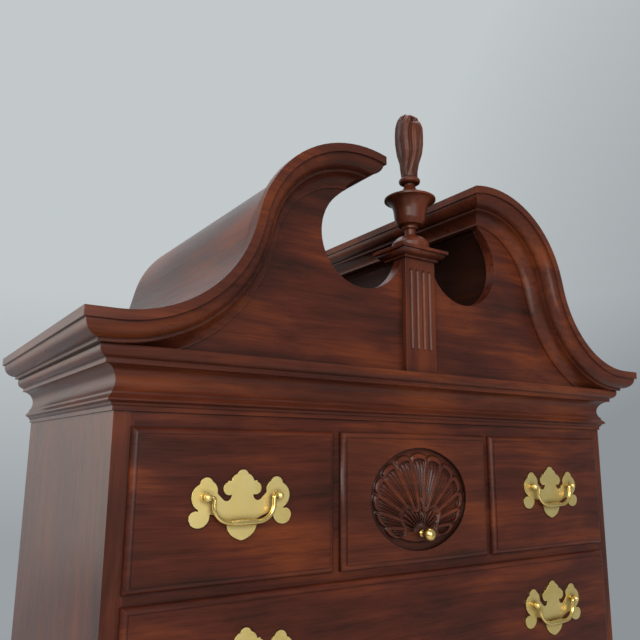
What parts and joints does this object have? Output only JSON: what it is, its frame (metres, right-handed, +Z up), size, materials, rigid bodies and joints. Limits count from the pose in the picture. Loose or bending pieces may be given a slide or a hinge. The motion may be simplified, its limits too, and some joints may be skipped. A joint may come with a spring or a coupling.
{
  "type": "highboy chest of drawers",
  "caption": "Bonnet-top highboy: drawers with swinging brass bails and carved shell fronts, swan-neck pediment with a flame finial, cabriole legs.",
  "frame": {"origin": "on the floor, under the middle of the four feet", "axes": "+Z up, the drawers open towards -Y, +X to the right as seen from the front"},
  "size_m": [1.0606, 0.5998, 2.1957],
  "materials": {
    "wood": "satin",
    "inner_wood": "matte",
    "brass": "polished"
  },
  "bodies": {
    "case": {"upper_sides": "wood", "upper_frame": "wood", "upper_runners": "inner_wood", "upper_back": "inner_wood", "cornice": "wood", "scroll_board": "wood", "swan_necks": "wood", "bonnet_roof": "wood", "plinth": "wood", "finial_urn": "wood", "finial_flame": "wood", "waist_moulding": "wood", "lower_sides": "wood", "lower_frame": "wood", "lower_runners": "inner_wood", "lower_back": "inner_wood", "legs": "wood", "apron": "wood"},
    "top_left_drawer": {"top_left_drawer_front": "wood", "top_left_drawer_box": "inner_wood", "top_left_drawer_pull": "brass"},
    "top_left_drawer_bail": {"top_left_drawer_bail": "brass"},
    "top_shell_drawer": {"top_shell_drawer_front": "wood", "top_shell_drawer_box": "inner_wood", "top_shell_drawer_knob": "brass"},
    "top_right_drawer": {"top_right_drawer_front": "wood", "top_right_drawer_box": "inner_wood", "top_right_drawer_pull": "brass"},
    "top_right_drawer_bail": {"top_right_drawer_bail": "brass"},
    "shallow_drawer": {"shallow_drawer_front": "wood", "shallow_drawer_box": "inner_wood", "shallow_drawer_pull": "brass"},
    "shallow_drawer_bail_left": {"shallow_drawer_bail_left": "brass"},
    "shallow_drawer_bail_right": {"shallow_drawer_bail_right": "brass"},
    "middle_drawer": {"middle_drawer_front": "wood", "middle_drawer_box": "inner_wood", "middle_drawer_pull": "brass"},
    "middle_drawer_bail_left": {"middle_drawer_bail_left": "brass"},
    "middle_drawer_bail_right": {"middle_drawer_bail_right": "brass"},
    "deep_drawer": {"deep_drawer_front": "wood", "deep_drawer_box": "inner_wood", "deep_drawer_pull": "brass"},
    "deep_drawer_bail_left": {"deep_drawer_bail_left": "brass"},
    "deep_drawer_bail_right": {"deep_drawer_bail_right": "brass"},
    "waist_drawer": {"waist_drawer_front": "wood", "waist_drawer_box": "inner_wood", "waist_drawer_pull": "brass"},
    "waist_drawer_bail_left": {"waist_drawer_bail_left": "brass"},
    "waist_drawer_bail_right": {"waist_drawer_bail_right": "brass"},
    "base_left_drawer": {"base_left_drawer_front": "wood", "base_left_drawer_box": "inner_wood", "base_left_drawer_pull": "brass"},
    "base_left_drawer_bail": {"base_left_drawer_bail": "brass"},
    "base_shell_drawer": {"base_shell_drawer_front": "wood", "base_shell_drawer_box": "inner_wood", "base_shell_drawer_knob": "brass"},
    "base_right_drawer": {"base_right_drawer_front": "wood", "base_right_drawer_box": "inner_wood", "base_right_drawer_pull": "brass"},
    "base_right_drawer_bail": {"base_right_drawer_bail": "brass"}
  },
  "joints": [
    {"name": "top_left_drawer_slide", "type": "slide", "parent": "case", "child": "top_left_drawer", "axis": [0, -1, 0], "range_m": [0, 0.36]},
    {"name": "top_left_drawer_bail_swing", "type": "hinge", "parent": "top_left_drawer", "child": "top_left_drawer_bail", "pos_m": [-0.30313, -0.2555, 1.5716], "axis": [-1, 0, 0], "range_deg": [-5, 95]},
    {"name": "top_shell_drawer_slide", "type": "slide", "parent": "case", "child": "top_shell_drawer", "axis": [0, -1, 0], "range_m": [0, 0.36]},
    {"name": "top_right_drawer_slide", "type": "slide", "parent": "case", "child": "top_right_drawer", "axis": [0, -1, 0], "range_m": [0, 0.36]},
    {"name": "top_right_drawer_bail_swing", "type": "hinge", "parent": "top_right_drawer", "child": "top_right_drawer_bail", "pos_m": [0.30313, -0.2555, 1.5716], "axis": [-1, 0, 0], "range_deg": [-5, 95]},
    {"name": "shallow_drawer_slide", "type": "slide", "parent": "case", "child": "shallow_drawer", "axis": [0, -1, 0], "range_m": [0, 0.36]},
    {"name": "shallow_drawer_bail_left_swing", "type": "hinge", "parent": "shallow_drawer", "child": "shallow_drawer_bail_left", "pos_m": [-0.293, -0.2555, 1.3817], "axis": [-1, 0, 0], "range_deg": [-5, 95]},
    {"name": "shallow_drawer_bail_right_swing", "type": "hinge", "parent": "shallow_drawer", "child": "shallow_drawer_bail_right", "pos_m": [0.293, -0.2555, 1.3817], "axis": [-1, 0, 0], "range_deg": [-5, 95]},
    {"name": "middle_drawer_slide", "type": "slide", "parent": "case", "child": "middle_drawer", "axis": [0, -1, 0], "range_m": [0, 0.36]},
    {"name": "middle_drawer_bail_left_swing", "type": "hinge", "parent": "middle_drawer", "child": "middle_drawer_bail_left", "pos_m": [-0.293, -0.2555, 1.1918], "axis": [-1, 0, 0], "range_deg": [-5, 95]},
    {"name": "middle_drawer_bail_right_swing", "type": "hinge", "parent": "middle_drawer", "child": "middle_drawer_bail_right", "pos_m": [0.293, -0.2555, 1.1918], "axis": [-1, 0, 0], "range_deg": [-5, 95]},
    {"name": "deep_drawer_slide", "type": "slide", "parent": "case", "child": "deep_drawer", "axis": [0, -1, 0], "range_m": [0, 0.36]},
    {"name": "deep_drawer_bail_left_swing", "type": "hinge", "parent": "deep_drawer", "child": "deep_drawer_bail_left", "pos_m": [-0.293, -0.2555, 0.9769], "axis": [-1, 0, 0], "range_deg": [-5, 95]},
    {"name": "deep_drawer_bail_right_swing", "type": "hinge", "parent": "deep_drawer", "child": "deep_drawer_bail_right", "pos_m": [0.293, -0.2555, 0.9769], "axis": [-1, 0, 0], "range_deg": [-5, 95]},
    {"name": "waist_drawer_slide", "type": "slide", "parent": "case", "child": "waist_drawer", "axis": [0, -1, 0], "range_m": [0, 0.36]},
    {"name": "waist_drawer_bail_left_swing", "type": "hinge", "parent": "waist_drawer", "child": "waist_drawer_bail_left", "pos_m": [-0.293, -0.2775, 0.7484], "axis": [-1, 0, 0], "range_deg": [-5, 95]},
    {"name": "waist_drawer_bail_right_swing", "type": "hinge", "parent": "waist_drawer", "child": "waist_drawer_bail_right", "pos_m": [0.293, -0.2775, 0.7484], "axis": [-1, 0, 0], "range_deg": [-5, 95]},
    {"name": "base_left_drawer_slide", "type": "slide", "parent": "case", "child": "base_left_drawer", "axis": [0, -1, 0], "range_m": [0, 0.36]},
    {"name": "base_left_drawer_bail_swing", "type": "hinge", "parent": "base_left_drawer", "child": "base_left_drawer_bail", "pos_m": [-0.30313, -0.2775, 0.586], "axis": [-1, 0, 0], "range_deg": [-5, 95]},
    {"name": "base_shell_drawer_slide", "type": "slide", "parent": "case", "child": "base_shell_drawer", "axis": [0, -1, 0], "range_m": [0, 0.36]},
    {"name": "base_right_drawer_slide", "type": "slide", "parent": "case", "child": "base_right_drawer", "axis": [0, -1, 0], "range_m": [0, 0.36]},
    {"name": "base_right_drawer_bail_swing", "type": "hinge", "parent": "base_right_drawer", "child": "base_right_drawer_bail", "pos_m": [0.30313, -0.2775, 0.586], "axis": [-1, 0, 0], "range_deg": [-5, 95]}
  ]
}
